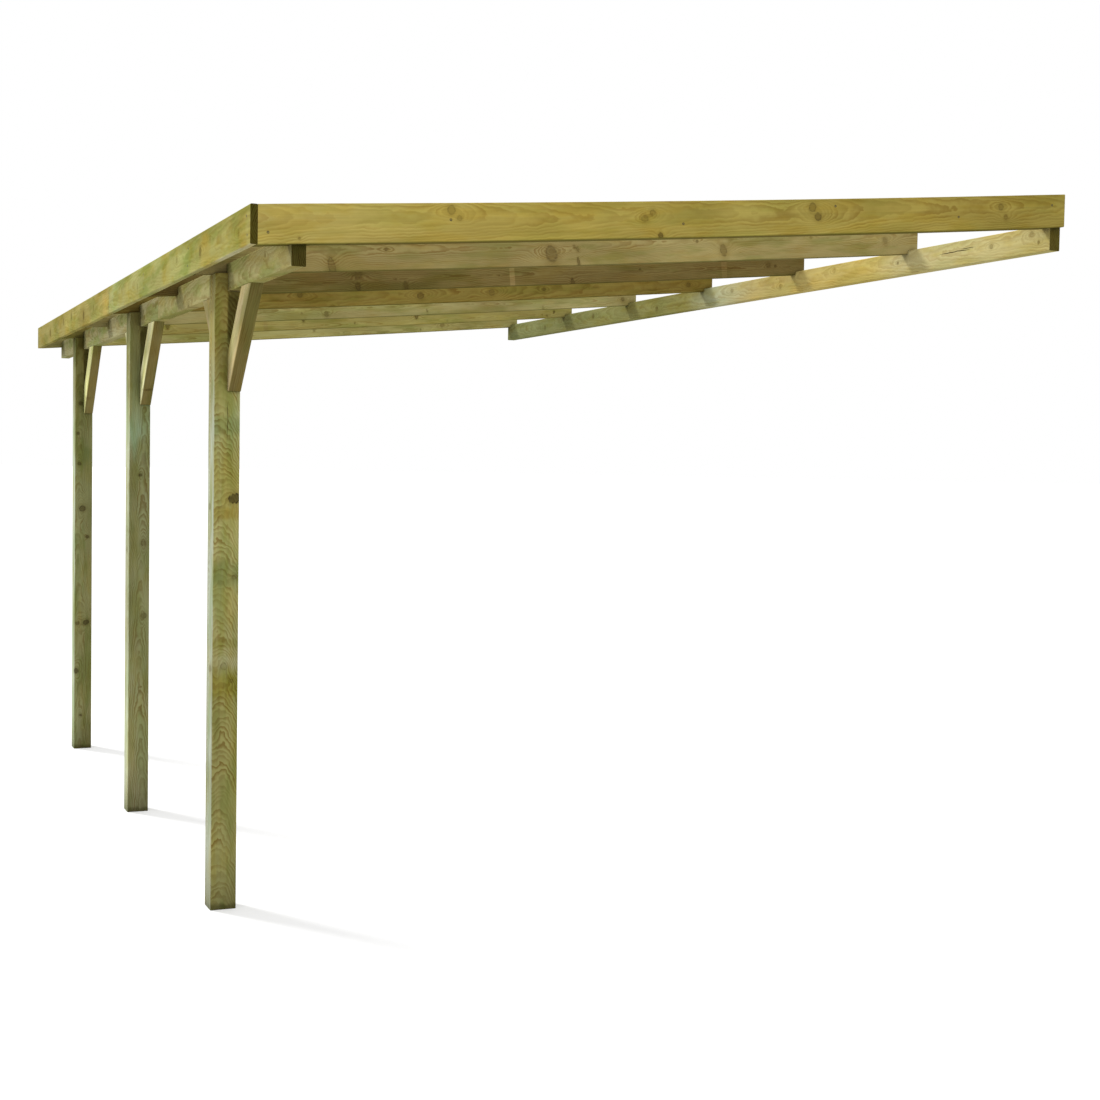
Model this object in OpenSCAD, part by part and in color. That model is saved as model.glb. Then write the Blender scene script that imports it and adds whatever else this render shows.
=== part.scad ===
// Lean-to carport frame in treated softwood. Millimetres.
// +X runs to the wall, +Y to the rear, +Z up.
// The origin is the centre of the wall ledger's outer face, the face that bears on the wall.

/* [Overall] */
// Width of the roof frame, from the outer face of the side fascia to the wall
roof_w = 2980; // [2200:10:4000]
// Distance between joist centres, six bays in all
bay = 860; // [550:5:1100]
// Height of the joist undersides above the ground, at the outer face of the posts
post_h = 2197; // [1700:1:2800]
// Fall of the roof away from the wall, in degrees
roof_fall = 5.2; // [2:0.1:12]
// How far the roof frame reaches past the outer face of the posts
eaves = 84; // [60:1:400]

/* [Framing] */
// Side of the square posts
post_s = 90; // [80:1:150]
// Thickness of the joists, beam, ledger and braces
timber_t = 45; // [28:1:65]
// Depth of the joists
joist_h = 95; // [70:1:160]
// Depth of the outer beam
beam_h = 95; // [70:1:160]
// Depth of the wall ledger
ledger_h = 95; // [60:1:180]
// Depth of the seat cut in the joists over the beam, at the beam's outer face
beam_seat = 32; // [16:1:40]
// Depth of the seat cut in the joists over the ledger, at the wall
wall_seat = 10; // [2:1:30]

/* [Fascia] */
// Thickness of the fascia boards
fascia_t = 22; // [15:1:35]
// Depth of the fascia boards
fascia_h = 117; // [80:1:200]
// Gap between the two side fascia boards, at the middle joist
fascia_gap = 1; // [0:0.5:6]

/* [Braces] */
// Reach of a brace along the beam, from the post face
brace_reach = 325; // [200:5:420]
// Drop of a brace below the beam
brace_drop = 340; // [200:5:700]
// Depth of the level cut that blunts the foot of a brace
brace_foot = 10; // [4:1:60]
// Width of the brace timber
brace_w = 95; // [60:1:140]

/* [Beam joint] */
// Distance from the middle post's centre to the beam joint, towards the front
beam_joint = 465; // [430:5:800]
// Length of the half-lap that joins the two beam timbers
lap_len = 120; // [60:5:240]

/* [Hidden] */
slope = tan(roof_fall);
x_side = -roof_w;                     // outer face of the side fascia
x_end = x_side + fascia_t;            // joist ends
x_out = x_side + eaves;               // outer face of the posts
x_notch = x_out + post_s - timber_t;  // outer face of the beam
x_in = x_out + post_s;                // inner face of the posts and of the beam
y_end = 3 * bay + timber_t / 2;       // outer faces of the first and last joist
// Height of the joist undersides at a distance x from the wall
function under(x) = ledger_h / 2 - wall_seat + x * slope;

z_ground = under(x_out) - post_h;
z_beam = under(x_notch) + beam_seat - beam_h;  // underside of the beam

// A profile in the X-Z plane, carried from y0 to y1
module along_y(points, y0, y1) {
  translate([0, y1, 0]) rotate([90, 0, 0]) linear_extrude(height = y1 - y0) polygon(points);
}

// A profile in the Y-Z plane, carried from x0 to x1
module along_x(points, x0, x1) {
  translate([x0, 0, 0]) rotate([90, 0, 90]) linear_extrude(height = x1 - x0) polygon(points);
}

// A fascia board across the end of the roof, following its slope, with plumb ends
module raked_board(y0, y1) {
  along_y([
    [x_end, under(x_end)], [0, under(0)],
    [0, under(0) + fascia_h], [x_end, under(x_end) + fascia_h]
  ], y0, y1);
}

// Square post: the outer half stands up to the joist, the inner half stops under the beam
module post(y) {
  along_y([
    [x_out, z_ground], [x_in, z_ground], [x_in, z_beam], [x_notch, z_beam],
    [x_notch, under(x_notch)], [x_out, under(x_out)]
  ], y - post_s / 2, y + post_s / 2);
}

// Knee brace under the beam; side is -1 for the front of the post, 1 for the rear
module brace(y, side) {
  run = brace_reach - brace_foot;
  cut = brace_w * sqrt(run * run + brace_drop * brace_drop) / brace_drop;
  inner = brace_reach - cut;
  face = y + side * post_s / 2;
  along_x([
    [face + side * brace_reach, z_beam],
    [face + side * inner, z_beam],
    [face, z_beam - inner * brace_drop / run],
    [face, z_beam - brace_drop],
    [face + side * brace_foot, z_beam - brace_drop]
  ], x_notch, x_in);
}

// A run of the beam, or of one half of its thickness where the two timbers lap
module beam_run(x0, x1, y0, y1) {
  translate([x0, y0, z_beam]) cube([x1 - x0, y1 - y0, beam_h]);
}

// Joist with plumb ends, its underside cut to seat level on the beam and on the ledger
module joist(k) {
  y = (k - 3) * bay;
  along_y([
    [x_end, under(x_end)],
    [x_notch, under(x_notch)], [x_notch, z_beam + beam_h],
    [x_in, z_beam + beam_h], [x_in, under(x_in)],
    [-timber_t, under(-timber_t)], [-timber_t, ledger_h / 2],
    [0, ledger_h / 2], [0, under(0) + joist_h],
    [x_end, under(x_end) + joist_h]
  ], y - timber_t / 2, y + timber_t / 2);
}

module post_front() { color("#8c8157") post(-2 * bay); }
module post_middle() { color("#8c8157") post(0); }
module post_rear() { color("#8c8157") post(2 * bay); }

module outer_beam_front() {
  color("#8a7d4e") union() {
    beam_run(x_notch, x_in, -y_end, -beam_joint);
    beam_run(x_notch + timber_t / 2, x_in, -beam_joint, -beam_joint + lap_len);
  }
}
module outer_beam_rear() {
  color("#8a7d4e") union() {
    beam_run(x_notch, x_in, -beam_joint + lap_len, y_end);
    beam_run(x_notch, x_notch + timber_t / 2, -beam_joint, -beam_joint + lap_len);
  }
}
module wall_ledger() {
  color("#c9b67c") translate([-timber_t, -y_end, -ledger_h / 2])
    cube([timber_t, 2 * y_end, ledger_h]);
}

module brace_front_front() { color("#a08f5c") brace(-2 * bay, -1); }
module brace_front_rear() { color("#a08f5c") brace(-2 * bay, 1); }
module brace_middle_front() { color("#a08f5c") brace(0, -1); }
module brace_middle_rear() { color("#a08f5c") brace(0, 1); }
module brace_rear_front() { color("#a08f5c") brace(2 * bay, -1); }
module brace_rear_rear() { color("#a08f5c") brace(2 * bay, 1); }

module joist_0() { color("#7c7046") joist(0); }
module joist_1() { color("#7c7046") joist(1); }
module joist_2() { color("#7c7046") joist(2); }
module joist_3() { color("#7c7046") joist(3); }
module joist_4() { color("#7c7046") joist(4); }
module joist_5() { color("#7c7046") joist(5); }
module joist_6() { color("#7c7046") joist(6); }

module front_fascia() {
  color("#b3974a") raked_board(-y_end - fascia_t, -y_end);
}
module rear_fascia() {
  color("#b3974a") raked_board(y_end, y_end + fascia_t);
}

// A side fascia board, level along the eaves, between two distances from the middle
module side_board(y0, y1) {
  z0 = under(x_end);
  along_y([[x_side, z0], [x_end, z0], [x_end, z0 + fascia_h], [x_side, z0 + fascia_h]], y0, y1);
}
module side_fascia_front() { color("#b3a055") side_board(-y_end - fascia_t, -fascia_gap / 2); }
module side_fascia_rear() { color("#b3a055") side_board(fascia_gap / 2, y_end + fascia_t); }

post_front();
post_middle();
post_rear();
outer_beam_front();
outer_beam_rear();
wall_ledger();
brace_front_front();
brace_front_rear();
brace_middle_front();
brace_middle_rear();
brace_rear_front();
brace_rear_rear();
joist_0();
joist_1();
joist_2();
joist_3();
joist_4();
joist_5();
joist_6();
front_fascia();
rear_fascia();
side_fascia_front();
side_fascia_rear();
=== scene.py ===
"""The looks of a lean-to carport frame in pressure-treated pine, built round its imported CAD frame.

Lengths are metres. +X runs to the wall, +Y to the rear and +Z up. Each timber of the CAD frame is stood
for by a milled copy of itself, which carries the grain's own coordinates, so that rings, knots and
drying cracks run through it from face to face.
"""

import logging
import math
import random
from dataclasses import dataclass, field
from enum import Enum
from functools import reduce

import bmesh
import bpy
from mathutils import Matrix, Vector


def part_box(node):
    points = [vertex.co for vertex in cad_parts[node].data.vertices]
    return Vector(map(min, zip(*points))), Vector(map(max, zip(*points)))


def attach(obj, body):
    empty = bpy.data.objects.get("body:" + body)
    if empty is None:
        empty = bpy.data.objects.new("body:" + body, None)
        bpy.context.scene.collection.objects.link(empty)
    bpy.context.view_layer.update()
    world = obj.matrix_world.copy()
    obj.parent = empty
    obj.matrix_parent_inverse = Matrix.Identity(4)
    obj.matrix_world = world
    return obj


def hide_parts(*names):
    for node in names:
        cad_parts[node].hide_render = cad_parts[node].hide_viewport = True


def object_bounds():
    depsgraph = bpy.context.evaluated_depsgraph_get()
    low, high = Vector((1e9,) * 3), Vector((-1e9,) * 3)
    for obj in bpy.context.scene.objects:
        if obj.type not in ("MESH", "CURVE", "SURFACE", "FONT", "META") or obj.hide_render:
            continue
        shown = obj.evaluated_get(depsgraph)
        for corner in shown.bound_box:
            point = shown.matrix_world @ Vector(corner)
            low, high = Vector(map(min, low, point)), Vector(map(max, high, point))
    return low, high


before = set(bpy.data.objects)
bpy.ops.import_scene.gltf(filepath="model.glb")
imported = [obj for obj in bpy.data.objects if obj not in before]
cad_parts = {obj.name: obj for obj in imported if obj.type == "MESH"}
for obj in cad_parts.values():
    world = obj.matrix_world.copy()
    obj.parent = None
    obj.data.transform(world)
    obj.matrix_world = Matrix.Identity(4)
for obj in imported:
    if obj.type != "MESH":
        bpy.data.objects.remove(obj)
cad_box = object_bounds()

log = logging.getLogger("carport")

Socket = bpy.types.NodeSocket
Feed = Socket | float | tuple[float, ...]

BODY = "root"
POSTS = ("front", "middle", "rear")
JOISTS = [f"joist_{number}" for number in range(7)]
JOIST_LENGTH = 2.95
FRAMING_DEPTH = 0.095
BOARD_SHRINKAGE = 0.0004  # how far the fascia boards' outer faces have drawn in
SCREW_SINK = 0.0003  # how deep a screw's head is drawn into the wood
WHITE = (1.0, 1.0, 1.0, 1.0)


def shade(code: str) -> tuple[float, float, float, float]:
    """Turns a colour written as six hex digits into the linear values that shaders take.

    Args:
        code: the colour, two digits each for red, green and blue.

    Returns:
        Red, green, blue and alpha.
    """
    parts = [int(code[i:i + 2], 16) / 255 for i in (0, 2, 4)]
    linear = [p / 12.92 if p <= 0.04045 else ((p + 0.055) / 1.055) ** 2.4 for p in parts]
    return (*linear, 1.0)


def grey(tone: float) -> tuple[float, float, float, float]:
    """Returns a neutral colour of one linear tone."""
    return (tone, tone, tone, 1.0)


def added(name: str, data: bpy.types.ID) -> bpy.types.Object:
    """Makes an object and puts it in the scene.

    Args:
        name: the object's name.
        data: its mesh, light or camera.

    Returns:
        The object.
    """
    made = bpy.data.objects.new(name, data)
    bpy.context.scene.collection.objects.link(made)
    return made


# ---------------------------------------------------------------- shader nodes


class Bench:
    """Adds nodes to one node tree and joins their sockets."""

    def __init__(self, tree: bpy.types.NodeTree) -> None:
        """Keeps the tree that the nodes go into."""
        self.tree = tree

    @classmethod
    def cleared(cls, owner: bpy.types.Material | bpy.types.World) -> "Bench":
        """Empties the node tree of a new material or world.

        Args:
            owner: the material or world.

        Returns:
            A bench for its tree.
        """
        owner.use_nodes = True
        owner.node_tree.nodes.clear()
        return cls(owner.node_tree)

    def node(self, kind: str, feeds: dict[str | int, Feed], **settings: object) -> bpy.types.Node:
        """Adds one node.

        Args:
            kind: the node's type.
            feeds: what each input takes, by its name or number: a socket to join, or a plain value.
            settings: the node's own properties.

        Returns:
            The new node.
        """
        made = self.tree.nodes.new(kind)
        for name, value in settings.items():
            setattr(made, name, value)
        for key, feed in feeds.items():
            if isinstance(feed, Socket):
                self.tree.links.new(feed, made.inputs[key])
            else:
                made.inputs[key].default_value = feed
        return made

    def math(self, operation: str, *feeds: Feed, clamp: bool = False) -> Socket:
        """Adds a Math node and returns its value."""
        made = self.node("ShaderNodeMath", dict(enumerate(feeds)), operation=operation, use_clamp=clamp)
        return made.outputs[0]

    def times(self, *feeds: Feed) -> Socket:
        """Returns the product of two or more numbers."""
        return reduce(lambda one, other: self.math("MULTIPLY", one, other), feeds)

    def plus(self, *feeds: Feed) -> Socket:
        """Returns the sum of two or more numbers."""
        return reduce(lambda one, other: self.math("ADD", one, other), feeds)

    def line(self, value: Feed, factor: Feed, start: Feed) -> Socket:
        """Returns a number times a factor, plus a start."""
        return self.math("MULTIPLY_ADD", value, factor, start)

    def halved(self, value: Feed) -> Socket:
        """Returns a number less a half, which centres a noise on nought."""
        return self.math("SUBTRACT", value, 0.5)

    def vector(self, operation: str, *feeds: Feed) -> Socket:
        """Adds a Vector Math node and returns its vector."""
        made = self.node("ShaderNodeVectorMath", dict(enumerate(feeds)), operation=operation)
        return made.outputs["Vector"]

    def scaled(self, vector: Feed, factor: Feed) -> Socket:
        """Returns a vector times a number."""
        made = self.node("ShaderNodeVectorMath", {0: vector, "Scale": factor}, operation="SCALE")
        return made.outputs["Vector"]

    def dot(self, one: Feed, other: Feed) -> Socket:
        """Returns the dot product of two vectors."""
        made = self.node("ShaderNodeVectorMath", {0: one, 1: other}, operation="DOT_PRODUCT")
        return made.outputs["Value"]

    def length(self, vector: Feed) -> Socket:
        """Returns the length of a vector."""
        return self.node("ShaderNodeVectorMath", {0: vector}, operation="LENGTH").outputs["Value"]

    def parts(self, vector: Feed) -> bpy.types.NodeOutputs:
        """Returns a vector's three numbers."""
        return self.node("ShaderNodeSeparateXYZ", {0: vector}).outputs

    def attribute(self, name: str, output: str = "Fac") -> Socket:
        """Returns what the mesh says under a name."""
        return self.node("ShaderNodeAttribute", {}, attribute_name=name).outputs[output]

    def ease(self, value: Feed, low: float, high: float, start: float = 0.0, end: float = 1.0) -> Socket:
        """Returns a smooth step from start to end as value goes from low to high."""
        feeds = {"Value": value, "From Min": low, "From Max": high, "To Min": start, "To Max": end}
        return self.node("ShaderNodeMapRange", feeds, interpolation_type="SMOOTHSTEP").outputs["Result"]

    def noise(self, vector: Feed, scale: float = 1.0, detail: float = 2.0,
              rough: float = 0.5) -> bpy.types.NodeOutputs:
        """Returns a noise as a number and as a colour."""
        feeds = {"Vector": vector, "Scale": scale, "Detail": detail, "Roughness": rough}
        return self.node("ShaderNodeTexNoise", feeds).outputs

    def drawn(self, place: Feed, stretch: tuple[float, ...], detail: float = 2.0,
              rough: float = 0.5) -> bpy.types.NodeOutputs:
        """Returns a noise that is finer along some axes than along others, by the stretch of each."""
        return self.noise(self.vector("MULTIPLY", place, stretch), detail=detail, rough=rough)

    def blend(self, share: Feed, one: Feed, other: Feed, way: str = "MIX") -> Socket:
        """Returns one colour blended with another by a share of it."""
        feeds = {0: share, 6: one, 7: other}
        return self.node("ShaderNodeMix", feeds, data_type="RGBA", blend_type=way).outputs[2]

    def between(self, share: Feed, one: Feed, other: Feed) -> Socket:
        """Returns a number between two others by a share."""
        return self.node("ShaderNodeMix", {0: share, 2: one, 3: other}, data_type="FLOAT").outputs[0]


class Kind(Enum):
    """What a group's socket carries."""

    NUMBER = "NodeSocketFloat"
    VECTOR = "NodeSocketVector"
    COLOUR = "NodeSocketColor"


def vectors(*names: str) -> dict[str, Kind]:
    """Lists sockets that carry vectors."""
    return dict.fromkeys(names, Kind.VECTOR)


def numbers(*names: str) -> dict[str, Kind]:
    """Lists sockets that carry numbers."""
    return dict.fromkeys(names, Kind.NUMBER)


def colours(*names: str) -> dict[str, Kind]:
    """Lists sockets that carry colours."""
    return dict.fromkeys(names, Kind.COLOUR)


class Pattern:
    """A shader node group that is built once and placed in each material with that material's values."""

    title = ""
    takes: dict[str, Kind] = {}
    gives: dict[str, Kind] = {}

    def wire(self, bench: Bench, given: bpy.types.NodeOutputs) -> dict[str, Socket]:
        """Builds the nodes of the group.

        Args:
            bench: adds nodes to the group.
            given: the sockets that come in, by name.

        Returns:
            The socket that feeds each output.
        """
        raise NotImplementedError

    def tree(self) -> bpy.types.NodeTree:
        """Builds the group on the first call.

        Returns:
            The group, the same one on each call.
        """
        ready = bpy.data.node_groups.get(self.title)
        if ready:
            return ready
        tree = bpy.data.node_groups.new(self.title, "ShaderNodeTree")
        for in_out, sockets in (("INPUT", self.takes), ("OUTPUT", self.gives)):
            for name, kind in sockets.items():
                tree.interface.new_socket(name, in_out=in_out, socket_type=kind.value)
        bench = Bench(tree)
        given = bench.node("NodeGroupInput", {}).outputs
        bench.node("NodeGroupOutput", self.wire(bench, given))
        return tree

    def place(self, bench: Bench, feeds: dict[str, Feed]) -> bpy.types.NodeOutputs:
        """Places the group in a tree and returns its outputs."""
        return bench.node("ShaderNodeGroup", feeds, node_tree=self.tree()).outputs


class KnotPattern(Pattern):
    """One branch, a cone from the pith outwards; groups are chained and pass on the nearest knot."""

    title = "Knot"
    takes = {**vectors("Grain", "Centre", "Axis"),
             **numbers("Radius", "Reach", "Darkness", "Near", "Push", "Tone")}
    gives = numbers("Near", "Push", "Tone")

    FAR_OFF = 9.0  # a distance, in branch radii, at which nothing of a knot shows
    TAPER = (0.25, 1.25)  # the least and the greatest thickness of a branch, as shares of its radius
    ALONG = 0.42  # how much less a branch counts along the grain, where the rings flow round it
    FLOW = -0.32  # how fast the rings close again round a branch
    BULGE = 1.6  # how far a branch pushes them, in its own radii

    def wire(self, bench: Bench, given: bpy.types.NodeOutputs) -> dict[str, Socket]:
        """Measures the distance to the branch in branch radii, and how far it pushes the rings outwards.

        Args:
            bench: adds nodes to the group.
            given: the grain, the branch and what the knots before it gave.

        Returns:
            The nearest knot's distance and darkness, and the push of all so far.
        """
        from_pith = bench.vector("SUBTRACT", given["Grain"], given["Centre"])
        out = bench.dot(from_pith, given["Axis"])
        aside = bench.vector("SUBTRACT", from_pith, bench.scaled(given["Axis"], out))
        taper = bench.line(bench.math("DIVIDE", out, given["Reach"]), 0.7, 0.3)
        taper = bench.math("MINIMUM", bench.math("MAXIMUM", taper, self.TAPER[0]), self.TAPER[1])
        radius = bench.times(given["Radius"], taper)
        behind = bench.math("LESS_THAN", out, 0.0)
        near = bench.line(behind, self.FAR_OFF, bench.math("DIVIDE", bench.length(aside), radius))
        flowing = bench.vector("MULTIPLY", aside, (self.ALONG, 1.0, 1.0))
        swirl = bench.line(behind, self.FAR_OFF, bench.math("DIVIDE", bench.length(flowing), radius))
        fade = bench.math("EXPONENT", bench.times(swirl, swirl, self.FLOW))
        push = bench.times(radius, self.BULGE, fade)
        closer = bench.math("LESS_THAN", near, given["Near"])
        return {"Near": bench.math("MINIMUM", near, given["Near"]),
                "Push": bench.plus(push, given["Push"]),
                "Tone": bench.between(closer, given["Tone"], given["Darkness"])}


class CrackPattern(Pattern):
    """One drying crack, a thin blade that runs along the grain and in towards the pith."""

    title = "Drying Crack"
    takes = {**vectors("Grain", "Centre", "Axis", "Side"), **numbers("Length", "Width", "Crack")}
    gives = numbers("Crack")

    WAVER = 0.011  # how far a crack strays to either side

    def wire(self, bench: Bench, given: bpy.types.NodeOutputs) -> dict[str, Socket]:
        """Makes a mask that is one in the crack and tapers to its two ends.

        Args:
            bench: adds nodes to the group.
            given: the grain, the crack and the mask of those before it.

        Returns:
            The mask of all the cracks so far.
        """
        place = bench.vector("SUBTRACT", given["Grain"], given["Centre"])
        waver = bench.drawn(given["Grain"], (16.0, 0.0, 0.0), 3.0)[0]
        waver = bench.times(bench.halved(waver), self.WAVER)
        off = bench.math("ABSOLUTE", bench.plus(bench.dot(place, given["Side"]), waver))
        along = bench.math("ABSOLUTE", bench.parts(place)[0])
        share = bench.math("DIVIDE", along, bench.times(given["Length"], 0.5))
        open_width = bench.times(given["Width"], bench.ease(share, 0.3, 1.0, 1.0, 0.0))
        outer = bench.math("GREATER_THAN", bench.dot(place, given["Axis"]), 0.0)
        filled = bench.math("DIVIDE", off, bench.math("MAXIMUM", open_width, 1e-5))
        depth = bench.math("SUBTRACT", 1.0, filled)
        mask = bench.times(bench.ease(depth, 0.0, 0.6), outer)
        return {"Crack": bench.math("MAXIMUM", mask, given["Crack"])}


class RingPattern(Pattern):
    """Growth rings round a pith that wanders, so that flat-sawn faces show arches and edges show lines."""

    title = "Growth Rings"
    takes = {**vectors("Grain", "Pith"),
             **numbers("Spacing", "Wander", "Tilt", "Ripple", "Push", "Seed")}
    gives = numbers("Late", "Year")

    SHAKE = 1.7  # how far slow unevenness moves the rings, in rings
    RIPPLE = 5.0  # how far a full ripple moves them
    FIRST = 200.0  # a count that keeps every ring's number above nought

    def wire(self, bench: Bench, given: bpy.types.NodeOutputs) -> dict[str, Socket]:
        """Makes the dark latewood of each ring, and a value of its own for each year.

        Args:
            bench: adds nodes to the group.
            given: the grain, the pith, the rings' spacing and what bends them.

        Returns:
            The latewood as a mask, and the year's value.
        """
        seed = bench.node("ShaderNodeCombineXYZ", {0: 0.0, 1: given["Seed"], 2: given["Seed"]}).outputs[0]

        def mottle(stretch: tuple[float, ...], detail: float, rough: float = 0.5) -> bpy.types.NodeOutputs:
            """Returns a noise drawn out along the grain, which differs from timber to timber."""
            place = bench.vector("ADD", bench.vector("MULTIPLY", given["Grain"], stretch), seed)
            return bench.noise(place, detail=detail, rough=rough)

        drift = bench.vector("SUBTRACT", mottle((1.1, 0.0, 0.0), 1.5)[1], (0.5, 0.5, 0.5))
        from_pith = bench.vector("SUBTRACT", given["Grain"], given["Pith"])
        place = bench.vector("ADD", from_pith, bench.scaled(drift, given["Wander"]))
        radius = bench.length(bench.vector("MULTIPLY", place, (0.0, 1.0, 1.0)))
        shake = bench.times(bench.halved(mottle((4.0, 26.0, 26.0), 3.0)[0]), self.SHAKE)
        ripple = bench.halved(mottle((20.0, 24.0, 24.0), 2.0, 0.6)[0])
        ripple = bench.times(ripple, bench.times(given["Ripple"], self.RIPPLE))
        rise_along = bench.times(bench.parts(given["Grain"])[0], given["Tilt"])
        count = bench.math("DIVIDE", bench.math("SUBTRACT", radius, given["Push"]), given["Spacing"])
        count = bench.plus(count, rise_along, shake, bench.plus(ripple, self.FIRST))
        part = bench.math("FRACT", count)
        year = bench.plus(bench.math("FLOOR", count), bench.times(given["Seed"], 31.7))
        drawn = bench.node("ShaderNodeTexWhiteNoise", {"W": year}, noise_dimensions="1D")
        strength = drawn.outputs["Value"]
        rise = bench.ease(part, 0.1, 0.82)
        fall = bench.ease(part, 0.86, 1.0, 1.0, 0.0)
        clear = bench.ease(mottle((7.0, 20.0, 20.0), 2.0)[0], 0.35, 0.6, 0.45, 1.0)
        late = bench.times(rise, fall, bench.ease(strength, -0.6, 1.0), clear)
        return {"Late": late, "Year": strength}


class FibrePattern(Pattern):
    """The long fibres of the wood, as fine streaks along the grain."""

    title = "Fibre"
    takes = {**vectors("Grain"), **numbers("Seed")}
    gives = numbers("Streak", "Hair")

    def wire(self, bench: Bench, given: bpy.types.NodeOutputs) -> dict[str, Socket]:
        """Makes broad streaks a few millimetres wide and hairs of a fraction of one.

        Args:
            bench: adds nodes to the group.
            given: the grain and the timber's seed.

        Returns:
            The streaks and the hairs.
        """
        place = bench.vector("ADD", given["Grain"], bench.scaled((1.0, 1.0, 1.0), given["Seed"]))
        return {"Streak": bench.drawn(place, (3.0, 130.0, 130.0), 3.0, 0.6)[0],
                "Hair": bench.drawn(place, (22.0, 900.0, 900.0))[0]}


class StainPattern(Pattern):
    """Where the timber is greener, yellower or duller, in blotches drawn out along the grain."""

    title = "Treatment Stain"
    takes = {**vectors("Grain"), **numbers("Seed")}
    gives = numbers("Green", "Gold", "Dull")

    def wire(self, bench: Bench, given: bpy.types.NodeOutputs) -> dict[str, Socket]:
        """Makes one mask each for green patches, resinous yellow ones and duller stretches.

        Args:
            bench: adds nodes to the group.
            given: the grain and the timber's seed.

        Returns:
            The three masks.
        """
        place = bench.vector("ADD", given["Grain"], bench.scaled((5.3, 2.1, 3.7), given["Seed"]))
        green = bench.drawn(place, (3.2, 13.0, 13.0), 3.0, 0.6)[0]
        gold = bench.drawn(place, (4.6, 17.0, 17.0), 3.0, 0.6)[0]
        dull = bench.drawn(place, (1.4, 8.0, 8.0), 2.0, 0.55)[0]
        return {"Green": bench.ease(green, 0.44, 0.64),
                "Gold": bench.ease(gold, 0.46, 0.64),
                "Dull": bench.ease(dull, 0.38, 0.64)}


@dataclass(frozen=True)
class Layers:
    """What the layers of a timber's colour are laid with."""

    bench: Bench
    given: bpy.types.NodeOutputs
    rings: bpy.types.NodeOutputs
    fibre: bpy.types.NodeOutputs
    stain: bpy.types.NodeOutputs

    def tinted(self, colour: Socket, share: Feed, tint: tuple[float, ...]) -> Socket:
        """Returns a colour with a share of a tint laid over it."""
        return self.bench.blend(share, colour, tint, "MULTIPLY")


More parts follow.
